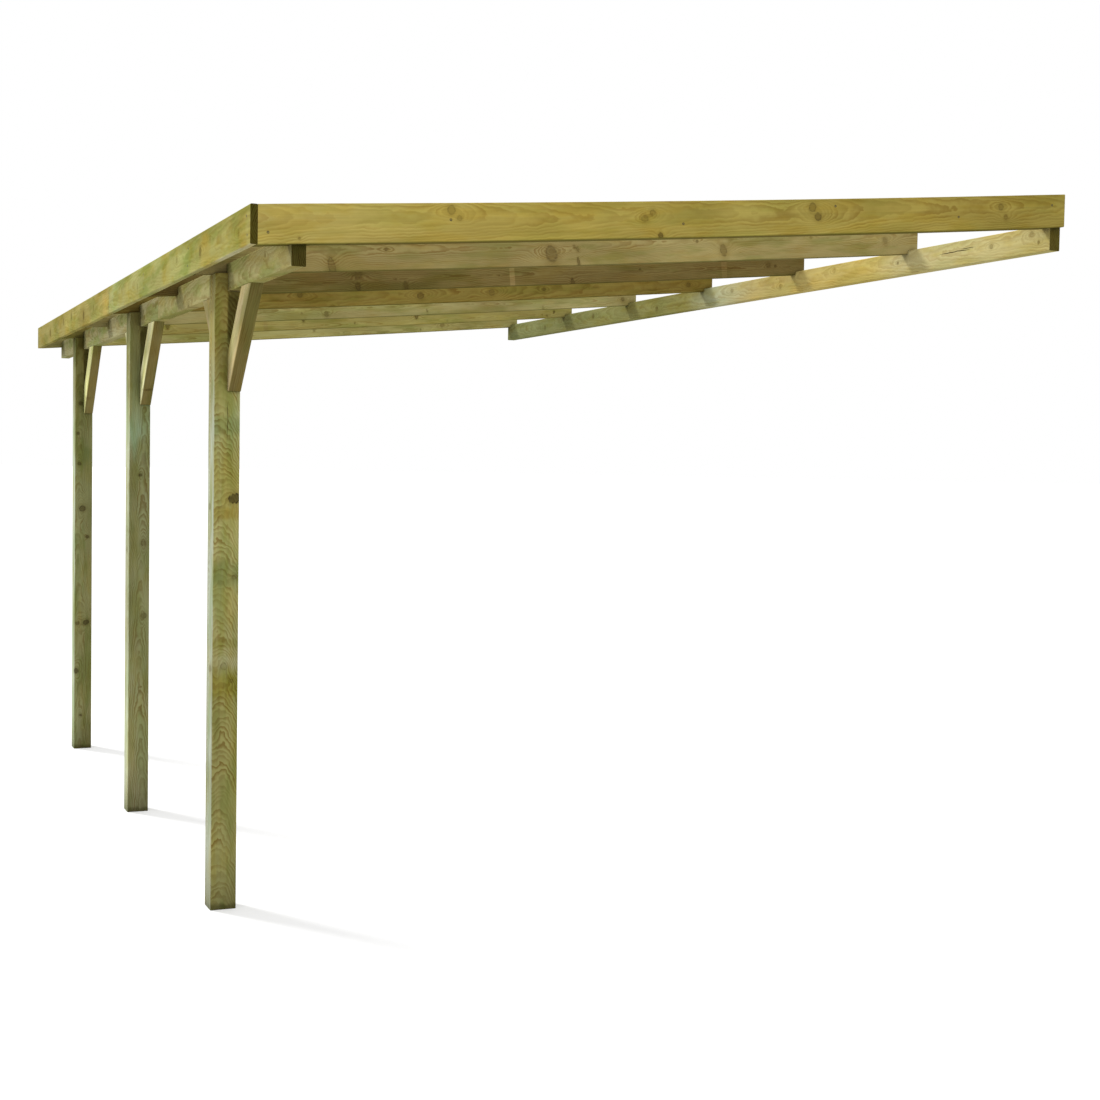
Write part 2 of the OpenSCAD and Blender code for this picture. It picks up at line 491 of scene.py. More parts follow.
class TimberPattern(Pattern):
    """The whole surface of treated pine: rings, fibres, stain, knots, cracks, sawn ends, arrises, painted
    shade in the corners that neighbours close in, and a side tone that is partly bleaching and partly
    painted light and painted shade.
    """

    title = "Treated Timber"
    takes = {**vectors("Grain", "Pith"),
             **numbers("Spacing", "Wander", "Tilt", "Ripple", "Seed", "Figure", "Green", "Gold", "Dull",
                       "Weathering And Painted Side Tone", "Near", "Push", "Tone", "Occlusion Shade", "Crack"),
             **colours("Base", "Weathered And Painted Side Colour")}
    gives = {**colours("Colour"), **numbers("Roughness", "Height")}

    LATE = shade("B08A58")
    GREEN = shade("AFCB84")
    GOLD = shade("F0DC80")
    DULL = shade("BDB1A2")
    HALO = shade("B09C68")
    KNOT = shade("776434")
    KNOT_RINGS = shade("9A8550")
    DEAD = shade("32281A")
    CRACK = shade("33291A")
    SAWN = shade("878669")
    PAINTED_CORNER_SHADE = shade("4E4226")

    def grown(self, layers: Layers) -> Socket:
        """Lays the side tone, which is bleaching by the weather, painted light and painted shade, then the
        rings, the fibres and the treatment's stains over the base colour.

        Args:
            layers: what the colour is laid with.

        Returns:
            The colour of clear wood.
        """
        bench, given = layers.bench, layers.given
        # The side tone: bleaching by the weather on posts, beams and braces, partly painted light there,
        # painted light under the front side board and painted shade under the joists and end boards;
        # painted shade from the ambient occlusion holds it back in corners.
        weathering_and_painted_side_tone = bench.times(given["Weathering And Painted Side Tone"], bench.attribute("weather"),
                                 bench.between(layers.stain["Dull"], 1.0, 0.78),
                                 bench.ease(given["Occlusion Shade"], 0.2, 0.8))
        colour = bench.blend(weathering_and_painted_side_tone, given["Base"], given["Weathered And Painted Side Colour"])
        figure = bench.times(layers.rings["Late"], given["Figure"], bench.between(weathering_and_painted_side_tone, 1.0, 0.45))
        colour = layers.tinted(colour, figure, self.LATE)
        streak = bench.times(bench.line(layers.fibre["Streak"], 0.40, 0.87),
                             bench.line(layers.fibre["Hair"], 0.10, 0.97),
                             bench.line(layers.rings["Year"], 0.10, 0.96))
        colour = bench.scaled(colour, streak)
        for name, tint in (("Green", self.GREEN), ("Gold", self.GOLD), ("Dull", self.DULL)):
            colour = layers.tinted(colour, bench.times(layers.stain[name], given[name]), tint)
        return colour

    def knotted(self, layers: Layers, colour: Socket, heart: Socket, rim: Socket) -> Socket:
        """Lays the knots and the drying cracks over the clear wood.

        Args:
            layers: what the colour is laid with.
            colour: the colour of clear wood.
            heart: a mask of the knots' wood.
            rim: a mask of the bark round them.

        Returns:
            The colour with knots and cracks.
        """
        bench, given = layers.bench, layers.given
        halo = bench.ease(given["Near"], 0.8, 2.4, 0.42, 0.0)
        inner = bench.math("FRACT", bench.times(given["Near"], 3.3))
        knot = bench.blend(given["Tone"], self.KNOT, self.DEAD)
        knot = layers.tinted(knot, bench.times(inner, 0.6), self.KNOT_RINGS)
        colour = layers.tinted(colour, bench.times(halo, bench.line(given["Tone"], 0.6, 0.4)), self.HALO)
        cover = bench.math("MULTIPLY", heart, bench.line(given["Tone"], 0.60, 0.04), clamp=True)
        colour = bench.blend(cover, colour, knot)
        edge = bench.times(rim, bench.line(given["Tone"], 0.85, 0.08))
        edge = bench.math("MULTIPLY", edge, bench.ease(layers.fibre["Streak"], 0.35, 0.6), clamp=True)
        colour = bench.blend(edge, colour, self.DEAD)
        return bench.blend(given["Crack"], colour, self.CRACK)

    def worked(self, layers: Layers, colour: Socket, cut: Socket) -> Socket:
        """Lays what the saw and handling have left, and a painted shade in the corners that neighbouring
        timbers close in.

        Args:
            layers: what the colour is laid with.
            colour: the colour with knots and cracks.
            cut: a mask of the sawn ends.

        Returns:
            The finished colour.
        """
        bench, streak = layers.bench, layers.fibre["Streak"]
        colour = layers.tinted(colour, cut, self.SAWN)
        late = bench.times(cut, bench.times(layers.rings["Late"], 0.6))
        colour = layers.tinted(colour, late, self.LATE)
        # Painted shade: the ambient occlusion darkens corners that neighbouring timbers close in.
        occluded = bench.ease(layers.given["Occlusion Shade"], 0.2, 0.9, 1.0, 0.0)
        darkening = bench.math("MULTIPLY", occluded, bench.line(streak, 0.6, 0.45), clamp=True)
        colour = layers.tinted(colour, bench.times(darkening, 0.85), self.PAINTED_CORNER_SHADE)
        worn = bench.times(bench.attribute("arris"), bench.ease(streak, 0.3, 0.7, -0.02, 0.16))
        return bench.scaled(colour, bench.plus(worn, 1.0))

    def wire(self, bench: Bench, given: bpy.types.NodeOutputs) -> dict[str, Socket]:
        """Lays the effects over the base colour in the order in which the timber took them.

        Args:
            bench: adds nodes to the group.
            given: the grain, the timber's own values, and its knots and cracks.

        Returns:
            The colour, the roughness and the height of the surface.
        """
        common = {"Grain": given["Grain"], "Seed": given["Seed"]}
        rings = RingPattern().place(bench, {name: given[name] for name in RingPattern.takes})
        fibre = FibrePattern().place(bench, common)
        layers = Layers(bench, given, rings, fibre, StainPattern().place(bench, common))
        cut = bench.attribute("cut")
        heart = bench.ease(given["Near"], 0.7, 1.1, 1.0, 0.0)
        inside = bench.ease(given["Near"], 0.65, 0.92)
        rim = bench.times(inside, bench.ease(given["Near"], 0.92, 1.2, 1.0, 0.0))
        colour = self.worked(layers, self.knotted(layers, self.grown(layers), heart, rim), cut)
        rough = bench.plus(bench.line(fibre["Hair"], 0.16, 0.66), bench.times(cut, 0.12))
        rough = bench.math("SUBTRACT", rough, bench.times(heart, 0.12), clamp=True)
        height = bench.plus(bench.times(rings["Late"], 0.35), bench.times(fibre["Streak"], 0.5),
                            bench.times(fibre["Hair"], 0.35), bench.times(heart, 0.3))
        height = bench.math("SUBTRACT", height, bench.times(rim, 0.5))
        height = bench.math("SUBTRACT", height, bench.times(given["Crack"], 2.5))
        return {"Colour": colour, "Roughness": rough, "Height": height}


# ---------------------------------------------------------------- timber


class Slot(Enum):
    """The record's material slots."""

    POST = "post_timber"
    BEAM = "beam_timber"
    LEDGER = "ledger_timber"
    BRACE = "brace_timber"
    JOIST = "joist_timber"
    FASCIA = "fascia_timber"


class Face(Enum):
    """The long faces of a timber, as signs across its width and through its thickness."""

    NEAR = (0, -1)
    FAR = (0, 1)
    LOW = (-1, 0)
    HIGH = (1, 0)


class Way(Enum):
    """The directions that timbers and fixings are laid by."""

    WALL = (1.0, 0.0, 0.0)
    OUTWARDS = (-1.0, 0.0, 0.0)
    REAR = (0.0, 1.0, 0.0)
    FRONT = (0.0, -1.0, 0.0)
    DOWN = (0.0, 0.0, -1.0)

    @property
    def axis(self) -> Vector:
        """Returns the direction as a vector."""
        return Vector(self.value)


@dataclass(frozen=True)
class Grain:
    """The grain's own axes in one timber, from the middle of its first end."""

    start: Vector
    along: Vector
    across: Vector
    through: Vector
    length: float
    width: float
    depth: float

    STEEP = 0.3  # a timber that rises more than this for each metre of its length points upwards
    LEVEL = 0.1  # a width that falls less than this counts as level

    @classmethod
    def of(cls, work: bmesh.types.BMesh, through: Vector) -> "Grain":
        """Reads the axes from a timber's mesh.

        Args:
            work: the merged mesh, whose longest edge lies along the grain.
            through: the direction of the timber's thickness.

        Returns:
            The grain's axes, with the timber's length, width and depth.
        """
        longest = max(work.edges, key=lambda edge: edge.calc_length())
        along = (longest.verts[1].co - longest.verts[0].co).normalized()
        rising = along.z if abs(along.z) > cls.STEEP else along.x + along.y
        along = along if rising > 0 else -along
        across = along.cross(through).normalized()
        across = -across if across.z < -cls.LEVEL else across
        spans = []
        for axis in (along, across, through):
            reach = [vert.co.dot(axis) for vert in work.verts]
            spans.append((min(reach), max(reach)))
        start = along * spans[0][0] + across * sum(spans[1]) / 2 + through * sum(spans[2]) / 2
        sizes = [high - low for low, high in spans]
        return cls(start, along, across, through, *sizes)

    def place(self, point: Vector) -> Vector:
        """Returns a point's distances along, across and through the timber."""
        offset = point - self.start
        return Vector((offset.dot(self.along), offset.dot(self.across), offset.dot(self.through)))

    def on_face(self, face: Face, along: float, aside: float) -> Vector:
        """Finds the grain coordinates of a point on a long face.

        Args:
            face: the face.
            along: the distance from the timber's first end.
            aside: the distance from the face's middle line.

        Returns:
            The point, as distances along, across and through.
        """
        high, far = face.value
        if high:
            return Vector((along, high * self.width / 2, aside))
        return Vector((along, aside, far * self.depth / 2))


@dataclass(frozen=True)
class Knot:
    """One knot where it comes out of a long face. A darkness of one is a dead knot."""

    face: Face
    along: float
    aside: float
    radius: float
    darkness: float = 0.35
    lean: float = 0.15


def knots_on(face: Face, *marks: tuple[float, ...]) -> tuple[Knot, ...]:
    """Lists knots on one face, each by its place along and aside, its radius and its darkness."""
    return tuple(Knot(face, *mark) for mark in marks)


@dataclass(frozen=True)
class Crack:
    """One drying crack, open on a long face."""

    face: Face
    along: float
    aside: float
    length: float
    width: float = 0.0016


def cracks_on(face: Face, *marks: tuple[float, ...]) -> tuple[Crack, ...]:
    """Lists cracks on one face, each by its place along and aside, its length and its width."""
    return tuple(Crack(face, *mark) for mark in marks)


@dataclass(frozen=True)
class Band:
    """A stretch across a timber, in a colour of its own, such as the mark of a stacking batten, or a
    painted shade.

    A sharpness of one makes its ends straight and hard. An inner one lies on the half towards the wall.
    """

    along: float
    length: float
    code: str
    strength: float = 0.6
    sharpness: float = 0.0
    inner: bool = False

    def mask(self, bench: Bench, here: bpy.types.NodeOutputs, fine: Socket) -> Socket:
        """Makes the mask of the band, with ragged ends where it isn't sharp.

        Args:
            bench: adds nodes to the material.
            here: the distances along, across and through the timber.
            fine: a fine noise, centred on nought.

        Returns:
            The mask.
        """
        soft = 1.0 - self.sharpness
        waver = bench.line(fine, min(0.6 * self.length, 0.1) * soft, here[0])
        off = bench.math("ABSOLUTE", bench.math("SUBTRACT", waver, self.along))
        reach = self.length * (0.5 - 0.3 * soft), self.length * (0.5 + 0.1 * soft) + 0.001
        mask = bench.ease(off, *reach, self.strength, 0.0)
        return bench.times(mask, bench.ease(here[2], -0.006, 0.004)) if self.inner else mask


def bands_of(*rows: tuple[float | str, ...]) -> tuple[Band, ...]:
    """Lists bands, each by its place along, its length, its colour, its strength and its sharpness."""
    return tuple(Band(*row) for row in rows)


@dataclass(frozen=True)
class TimberFinish:
    """The finish of one timber: its colours from end to end, and how its rings, knots and cracks lie.

    The side tone is how far its weather side has turned to the side colour, partly bleaching by the weather
    and partly painted light and painted shade. Over the given length at its far end it has hardly done so.
    """

    tones: tuple[tuple[float, str], ...]
    pith: tuple[float, float]
    spacing: float = 0.006
    wander: float = 0.05
    tilt: float = 6.0
    ripple: float = 0.3
    figure: float = 0.6
    green: float = 0.35
    gold: float = 0.3
    dull: float = 0.35
    weathering_and_painted_side_tone: float = 0.0
    weathered_and_painted_side_colour: str = "C9C79C"
    sheltered_and_painted_shade_length: float = 0.0
    bands: tuple[Band, ...] = ()
    knots: tuple[Knot, ...] = ()
    cracks: tuple[Crack, ...] = ()
    seed: float = 1.0

    DRIFT = 0.3  # how far the colours' borders stray along the timber
    RAGGED = 0.007  # how far the edges of knots stray
    SHELTERED_AND_SHADED_SHARE = 0.35  # how much of the side tone is left over the far length, where less weather and a painted shade fall
    OCCLUSION_SHADE_REACH = 0.35  # how near a neighbour must stand to paint shade on a face
    MATT = 0.0  # the wood's mirror reflection
    RELIEF = 0.0007  # the height of the grain

    def base(self, bench: Bench, grain: Grain, place: Socket) -> Socket:
        """Makes the colour that changes along the timber.

        Args:
            bench: adds nodes to the material.
            grain: the timber's axes and sizes.
            place: the socket with the grain coordinates.

        Returns:
            The colour.
        """
        here = bench.parts(place)
        drift = bench.times(bench.halved(bench.drawn(place, (2.5, 18.0, 18.0))[0]), self.DRIFT)
        share = bench.math("DIVIDE", bench.plus(here[0], drift), grain.length, clamp=True)
        ramp = bench.node("ShaderNodeValToRGB", {0: share})
        stops = ramp.color_ramp.elements
        stops.remove(stops[-1])
        for number, (distance, code) in enumerate(self.tones):
            stop = stops[0] if number == 0 else stops.new(1.0)
            stop.position = min(distance / grain.length, 1.0)
            stop.color = shade(code)
        colour = ramp.outputs["Color"]
        fine = bench.halved(bench.drawn(place, (20.0, 60.0, 60.0), 3.0)[0])
        for band in self.bands:
            colour = bench.blend(band.mask(bench, here, fine), colour, shade(band.code))
        return colour

    def branch(self, grain: Grain, mark: Knot | Crack, lean: float) -> tuple[Vector, Vector, float]:
        """Works out the line from the pith to a mark on a face.

        Args:
            grain: the timber's axes and sizes.
            mark: the knot or crack.
            lean: how far the line rises along the timber for each unit outwards.

        Returns:
            The point on the pith, the line's direction and its length.
        """
        outer = grain.on_face(mark.face, mark.along, mark.aside)
        pith = Vector((mark.along, *self.pith))
        reach = max((outer - pith).length, 0.01)
        centre = pith - Vector((lean * reach, 0.0, 0.0))
        return centre, (outer - centre).normalized(), (outer - centre).length

    def knot_chain(self, bench: Bench, grain: Grain, place: Socket) -> dict[str, Feed]:
        """Chains one group for each knot.

        Args:
            bench: adds nodes to the material.
            grain: the timber's axes and sizes.
            place: the socket with the grain coordinates.

        Returns:
            The nearest knot's distance and darkness, and how far all of them push the rings.
        """
        ragged = bench.vector("SUBTRACT", bench.drawn(place, (90.0, 170.0, 170.0))[1], (0.5, 0.5, 0.5))
        ragged = bench.vector("ADD", place, bench.scaled(ragged, self.RAGGED))
        chain: dict[str, Feed] = {"Near": KnotPattern.FAR_OFF, "Push": 0.0, "Tone": 0.0}
        for knot in self.knots:
            centre, axis, reach = self.branch(grain, knot, knot.lean)
            feeds = {"Grain": ragged, "Centre": tuple(centre), "Axis": tuple(axis), "Radius": knot.radius,
                     "Reach": reach, "Darkness": knot.darkness, **chain}
            chain = dict(KnotPattern().place(bench, feeds).items())
        return chain

    def crack_chain(self, bench: Bench, grain: Grain, place: Socket) -> Feed:
        """Chains one group for each drying crack.

        Args:
            bench: adds nodes to the material.
            grain: the timber's axes and sizes.
            place: the socket with the grain coordinates.

        Returns:
            The mask of all the cracks.
        """
        mask: Feed = 0.0
        for crack in self.cracks:
            centre, axis, _ = self.branch(grain, crack, 0.0)
            side = axis.cross(Vector((1.0, 0.0, 0.0)))
            feeds = {"Grain": place, "Centre": tuple(centre), "Axis": tuple(axis), "Side": tuple(side),
                     "Length": crack.length, "Width": crack.width, "Crack": mask}
            mask = CrackPattern().place(bench, feeds)["Crack"]
        return mask

    def material(self, name: str, grain: Grain) -> bpy.types.Material:
        """Builds the timber's material.

        Args:
            name: the material's name.
            grain: the timber's axes and sizes.

        Returns:
            The material.
        """
        made = bpy.data.materials.new(name)
        bench = Bench.cleared(made)
        place = bench.attribute("grain", "Vector")
        knotty = self.knot_chain(bench, grain, place)
        weathering_and_painted_side_tone: Feed = self.weathering_and_painted_side_tone
        # Over the far length the side tone fades: less weather reaches it, and this paints shade there, as
        # under the roof on the posts.
        if self.sheltered_and_painted_shade_length:
            edge = grain.length - self.sheltered_and_painted_shade_length
            least = self.weathering_and_painted_side_tone * self.SHELTERED_AND_SHADED_SHARE
            weathering_and_painted_side_tone = bench.ease(bench.parts(place)[0], edge - 0.15, edge + 0.10, self.weathering_and_painted_side_tone, least)
        # Ambient occlusion paints shade into corners and holds back the side tone there.
        occlusion_shade = bench.node("ShaderNodeAmbientOcclusion", {"Distance": self.OCCLUSION_SHADE_REACH}, samples=6)
        surface = TimberPattern().place(bench, {
            "Grain": place, "Pith": (0.0, *self.pith), "Spacing": self.spacing, "Wander": self.wander,
            "Tilt": self.tilt, "Ripple": self.ripple, "Seed": self.seed, "Figure": self.figure,
            "Green": self.green, "Gold": self.gold, "Dull": self.dull, "Weathering And Painted Side Tone": weathering_and_painted_side_tone,
            "Weathered And Painted Side Colour": shade(self.weathered_and_painted_side_colour), "Occlusion Shade": occlusion_shade.outputs["AO"],
            "Crack": self.crack_chain(bench, grain, place), "Base": self.base(bench, grain, place),
            **knotty})
        relief = bench.node("ShaderNodeBump", {
            "Height": surface["Height"], "Strength": 0.6, "Distance": self.RELIEF})
        wood = bench.node("ShaderNodeBsdfPrincipled", {
            "Base Color": surface["Colour"], "Roughness": surface["Roughness"], "Normal": relief.outputs[0],
            "Specular IOR Level": self.MATT})
        bench.node("ShaderNodeOutputMaterial", {"Surface": wood.outputs[0]})
        return made


@dataclass(frozen=True)
class Milling:
    """How the planer and the saw leave a timber's edges, and how finely it is divided along its length."""

    arris: float = 0.003
    arris_steps: int = 3
    saw_edge: float = 0.0007
    step: float = 0.12
    crease: float = 40.0


@dataclass
class Timbers:
    """The timbers of one sub-assembly, each a milled copy of its CAD node."""

    slot: Slot
    through: Way
    finishes: dict[str, TimberFinish]
    milling: Milling = field(default_factory=Milling)
    weathered_and_painted_side: Way = Way.OUTWARDS
    shrinkage: float = 0.0

    def shrunk(self, place: Vector, grain: Grain) -> Vector:
        """Works out how far a point has drawn in from the outer face as the timber dried.

        Args:
            place: the point's distances along, across and through the timber.
            grain: the timber's axes and sizes.

        Returns:
            The move, none in the inner half of the thickness and most on the outer face.
        """
        whole = (Vector(cad_box[0]) + Vector(cad_box[1])) / 2
        outward = math.copysign(1.0, grain.through.dot(grain.start - whole))
        share = max(0.0, place.z * outward / (grain.depth / 2))
        return grain.through * outward * -self.shrinkage * share

    def drop(self, point: Vector) -> float:
        """Returns how far a point has sunk below its straight place."""
        return 0.0

    def merged(self, name: str) -> bmesh.types.BMesh:
        """Copies a CAD node and merges it to one closed skin of flat faces.

        Args:
            name: the node's name.

        Returns:
            The working copy.
        """
        work = bmesh.new()
        work.from_mesh(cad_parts[name].data)
        bmesh.ops.remove_doubles(work, verts=work.verts[:], dist=1e-5)
        flat = math.radians(1.0)
        bmesh.ops.dissolve_limit(work, angle_limit=flat, verts=work.verts[:], edges=work.edges[:])
        bmesh.ops.recalc_face_normals(work, faces=work.faces[:])
        return work

    def round_edges(self, work: bmesh.types.BMesh, grain: Grain) -> None:
        """Rounds the planed arrises, eases the sawn edges and marks each face for the material.

        Args:
            work: the timber's mesh, which is changed.
            grain: the timber's axes and sizes.
        """
        arris = work.faces.layers.float.new("arris")
        cut = work.faces.layers.float.new("cut")
        weather = work.faces.layers.float.new("weather")

        def on_arris(vert: bmesh.types.BMVert) -> bool:
            """Tells whether a corner lies on one of the timber's four long arrises.

            Args:
                vert: the corner.

            Returns:
                True where it does.
            """
            place = grain.place(vert.co)
            across_gap = abs(abs(place.y) - grain.width / 2)
            through_gap = abs(abs(place.z) - grain.depth / 2)
            return max(across_gap, through_gap) < 2e-4

        planed = [edge for edge in work.edges if all(on_arris(vert) for vert in edge.verts)
                  and abs((edge.verts[1].co - edge.verts[0].co).normalized().dot(grain.along)) > 0.99]
        rounded = bmesh.ops.bevel(work, geom=planed, offset=self.milling.arris, offset_type="OFFSET",
                                  segments=self.milling.arris_steps, profile=0.5, affect="EDGES",
                                  clamp_overlap=True)
        for face in rounded["faces"]:
            face[arris] = 1.0
        work.normal_update()
        sawn = [edge for edge in work.edges if edge.is_convex and edge.calc_face_angle(0.0) > 0.9]
        bmesh.ops.bevel(work, geom=sawn, offset=self.milling.saw_edge, offset_type="OFFSET", segments=1,
                        profile=0.5, affect="EDGES", clamp_overlap=True)
        work.normal_update()
        # The weather mask is each face's share turned to its side, which takes the side tone: bleaching by
        # the weather, painted light and painted shade.
        for face in work.faces:
            face[cut] = 1.0 if abs(face.normal.dot(grain.along)) > 0.5 else 0.0
            face[weather] = max(0.0, face.normal.dot(self.weathered_and_painted_side.axis))

    def divide(self, work: bmesh.types.BMesh, grain: Grain) -> None:
        """Cuts the faces across the grain at even steps, so that the timber can bend.

        Args:
            work: the timber's mesh, which is changed.
            grain: the timber's axes and sizes.
        """
        steps = max(2, round(grain.length / self.milling.step))
        for step in range(1, steps):
            point = grain.start + grain.along * grain.length * step / steps
            everything = work.verts[:] + work.edges[:] + work.faces[:]
            bmesh.ops.bisect_plane(work, geom=everything, dist=1e-6, plane_co=point, plane_no=grain.along)
        wide = [face for face in work.faces if len(face.verts) > 4]
        bmesh.ops.triangulate(work, faces=wide)

    def mill(self, name: str) -> tuple[bpy.types.Mesh, Grain]:
        """Builds the mesh of one timber.

        Args:
            name: the CAD node's name.

        Returns:
            The finished mesh, and the timber's grain.
        """
        work = self.merged(name)
        grain = Grain.of(work, self.through.axis)
        self.round_edges(work, grain)
        self.divide(work, grain)
        place = work.verts.layers.float_vector.new("grain")
        for vert in work.verts:
            vert[place] = grain.place(vert.co)
            vert.co += self.shrunk(vert[place], grain)
            vert.co.z -= self.drop(vert.co)
        work.normal_update()
        for face in work.faces:
            face.smooth = True
        for edge in work.edges:
            edge.smooth = edge.calc_face_angle(0.0) < math.radians(self.milling.crease)
        mesh = bpy.data.meshes.new(f"{name}_timber")
        work.to_mesh(mesh)
        work.free()
        return mesh, grain

    def build(self) -> list[bpy.types.Object]:
        """Builds and dresses every timber.

        Returns:
            The pieces.
        """
        pieces = []
        for name, finish in self.finishes.items():
            mesh, grain = self.mill(name)
            mesh.materials.append(finish.material(f"{name}_pine", grain))
            piece = added(f"{name}_timber", mesh)
            even = piece.modifiers.new("Even normals", "WEIGHTED_NORMAL")
            even.keep_sharp = True
            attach(piece, BODY)
            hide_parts(name)
            log.info("%s: %d faces, %.3f m of %.0f x %.0f mm timber", piece.name, len(mesh.polygons),
                     grain.length, grain.width * 1000, grain.depth * 1000)
            pieces.append(piece)
        return pieces


def scattered(seed: int, length: float, width: float, faces: tuple[Face, ...], step: float = 0.55,
              size: float = 0.010) -> tuple[Knot, ...]:
    """Spreads knots along a timber in the loose whorls in which a pine grows its branches.

    Args:
        seed: fixes the draw.
        length: the timber's length.
        width: the width of its broad faces.
        faces: the faces that the knots come out of.
        step: the usual distance between two whorls.
        size: the usual radius of a knot.

    Returns:
        The knots.
    """
    draw = random.Random(seed)
    knots = []
    along = draw.uniform(0.3, 0.9) * step
    while along < length - 0.05:
        for _ in range(draw.choice((1, 1, 2))):
            aside = draw.uniform(-0.38, 0.38) * width
            radius = size * draw.uniform(0.45, 1.25)
            place = along + draw.uniform(-0.03, 0.03)
            knots.append(Knot(draw.choice(faces), place, aside, radius, draw.uniform(0.15, 0.8)))
        along += step * draw.uniform(0.7, 1.3)
    return tuple(knots)


# ---------------------------------------------------------------- sub-assemblies


# Painted shade behind the head of a brace, on the inner half of a post, where the beam and the brace shade
# it
PAINTED_RECESS_SHADE = Band(2.05, 0.19, "3C3A16", 0.75, 0.3, True)

# The damp end of a post on the ground
FOOT = Band(0.0, 0.045, "4A4822", 0.55)


@dataclass
class Posts(Timbers):
    """The three posts. Their outer faces are pale, partly bleached by the weather and partly painted light.
    """

    slot: Slot = Slot.POST
    through: Way = Way.WALL
    finishes: dict[str, TimberFinish] = field(default_factory=lambda: {
        "post_front": TimberFinish(
            tones=((0.0, "9D9B64"), (0.7, "A09B5E"), (0.9, "A5A26E"), (1.3, "B4AF72"), (1.55, "A9A562"),
                   (1.7, "B1B580"), (2.0, "B0A55C"), (2.3, "B0A55C")),
            pith=(0.022, -0.022), spacing=0.0065, wander=0.06, tilt=42.0, ripple=0.6, figure=0.72,
            green=0.45, gold=0.35, weathering_and_painted_side_tone=0.95, sheltered_and_painted_shade_length=0.36, weathered_and_painted_side_colour="B5BCA9",
            bands=(bands_of((0.78, 0.10, "938A39", 0.75), (0.865, 0.05, "B7B68E", 0.5),
                            (0.93, 0.04, "8C8B44", 0.55), (1.17, 0.10, "838C57", 0.55),
                            (1.38, 0.05, "9E8D40", 0.65), (1.68, 0.07, "849158", 0.6)) + (PAINTED_RECESS_SHADE, FOOT)),
            knots=(knots_on(Face.LOW, (0.85, -0.004, 0.012, 0.25), (0.80, 0.020, 0.006, 0.3),
                                      (1.43, 0.026, 0.017, 1.0), (1.16, 0.03, 0.008, 0.35))
                   + knots_on(Face.NEAR, (0.84, -0.01, 0.011, 0.35), (1.40, 0.012, 0.010, 0.4))
                   + knots_on(Face.HIGH, (0.42, 0.010, 0.012, 0.5))
                   + knots_on(Face.FAR, (1.12, 0.0, 0.015, 0.6), (0.35, 0.01, 0.009, 0.3))
                   + knots_on(Face.HIGH, (1.75, -0.01, 0.013, 0.7))),
            cracks=(cracks_on(Face.LOW, (1.70, 0.002, 0.16, 0.0010))
                    + cracks_on(Face.FAR, (0.9, 0.01, 0.7))
                    + cracks_on(Face.NEAR, (0.5, -0.006, 0.35, 0.0012))),
            seed=1.3),
        "post_middle": TimberFinish(
            tones=((0.0, "989670"), (0.6, "96976C"), (1.2, "93966A"), (1.6, "94986F"), (1.7, "99AD89"),
                   (1.8, "969F72"), (2.3, "928E56")),
            pith=(-0.020, 0.012), spacing=0.0055, wander=0.06, tilt=12.0, ripple=0.4, figure=0.65,
            green=0.35, bands=(PAINTED_RECESS_SHADE, FOOT), weathering_and_painted_side_tone=0.95, sheltered_and_painted_shade_length=0.36, weathered_and_painted_side_colour="CCD3B5",
            knots=(knots_on(Face.LOW, (0.87, 0.020, 0.012, 0.5), (1.19, 0.018, 0.012, 0.5),
                                      (1.49, 0.004, 0.007, 0.85))
                   + knots_on(Face.NEAR, (1.16, 0.0, 0.011, 0.35))
                   + knots_on(Face.HIGH, (0.5, 0.02, 0.014, 0.6))
                   + knots_on(Face.FAR, (1.45, -0.02, 0.012, 0.5), (0.7, 0.012, 0.014, 0.7))
                   + knots_on(Face.HIGH, (1.5, 0.0, 0.010, 0.4))),
            cracks=(cracks_on(Face.FAR, (1.3, -0.008, 0.8))
                    + cracks_on(Face.NEAR, (1.5, 0.01, 0.4, 0.0012))),
            seed=2.9),
        "post_rear": TimberFinish(
            tones=((0.0, "949669"), (0.6, "939363"), (1.1, "8F9062"), (1.6, "8A8E60"), (2.3, "878249")),
            pith=(0.006, -0.014), spacing=0.005, wander=0.05, tilt=10.0, ripple=0.4, figure=0.6,
            green=0.5, bands=(PAINTED_RECESS_SHADE, FOOT), weathering_and_painted_side_tone=0.85, sheltered_and_painted_shade_length=0.36, weathered_and_painted_side_colour="C9D3BA",
            knots=(knots_on(Face.LOW, (0.18, -0.012, 0.007, 0.8), (0.42, -0.036, 0.013, 0.9),
                                      (0.68, 0.014, 0.013, 0.9), (0.675, -0.028, 0.009, 0.6),
                                      (1.14, 0.020, 0.008, 0.8), (1.29, -0.006, 0.015, 0.75),
                                      (1.53, -0.022, 0.009, 0.7), (1.69, -0.03, 0.007, 0.8),
                                      (1.85, -0.016, 0.010, 0.8))
                   + knots_on(Face.HIGH, (0.95, 0.01, 0.013, 0.5))
                   + knots_on(Face.FAR, (1.5, 0.01, 0.012, 0.6))),
            cracks=cracks_on(Face.FAR, (1.1, 0.005, 0.9)),
            seed=4.2)})


